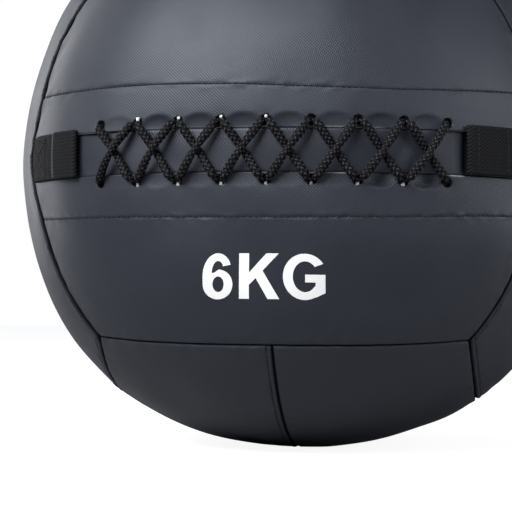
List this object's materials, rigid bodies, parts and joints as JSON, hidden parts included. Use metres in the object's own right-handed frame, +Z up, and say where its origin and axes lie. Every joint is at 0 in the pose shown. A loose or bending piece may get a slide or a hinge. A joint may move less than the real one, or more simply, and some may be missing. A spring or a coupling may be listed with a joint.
{
  "type": "laced wall ball",
  "caption": "Soft weighted ball with a cover of sewn coated-fabric panels, a laced opening over a tongue strip, webbing keepers, and a fibre filling round a sand bag.",
  "frame": {"origin": "centre of the small flat that the ball rests on, straight below the ball's centre", "axes": "+Z up; -Y is the way the laced face looks; +X is to the right of someone who looks at the laced face"},
  "size_m": [0.3404, 0.3457, 0.3389],
  "materials": {
    "cover_vinyl": "black coated fabric with a fine woven grain, satin",
    "facing_tape": "plain off-white woven backing",
    "webbing": "black woven webbing, matt",
    "lace_cord": "black braided cord",
    "bag_cotton": "unbleached cotton",
    "fibre": "packed white fibre",
    "sand": "dry sand"
  },
  "bodies": {
    "root": {"front_lower_panel": "cover_vinyl", "front_upper_panel": "cover_vinyl", "back_lower_panel": "cover_vinyl", "back_upper_panel": "cover_vinyl", "bottom_left_panel": "cover_vinyl", "bottom_right_panel": "cover_vinyl", "top_left_panel": "cover_vinyl", "top_right_panel": "cover_vinyl", "left_front_panel": "cover_vinyl", "left_back_panel": "cover_vinyl", "right_front_panel": "cover_vinyl", "right_back_panel": "cover_vinyl", "tongue_strip": "cover_vinyl", "lower_facing_strip": "facing_tape", "upper_facing_strip": "facing_tape", "left_webbing_keeper": "webbing", "right_webbing_keeper": "webbing", "lace": "lace_cord", "bag_tie": "lace_cord", "sand_bag": "bag_cotton", "sand_fill": "sand", "lower_fibre_fill": "fibre", "upper_fibre_fill": "fibre"}
  },
  "joints": []
}
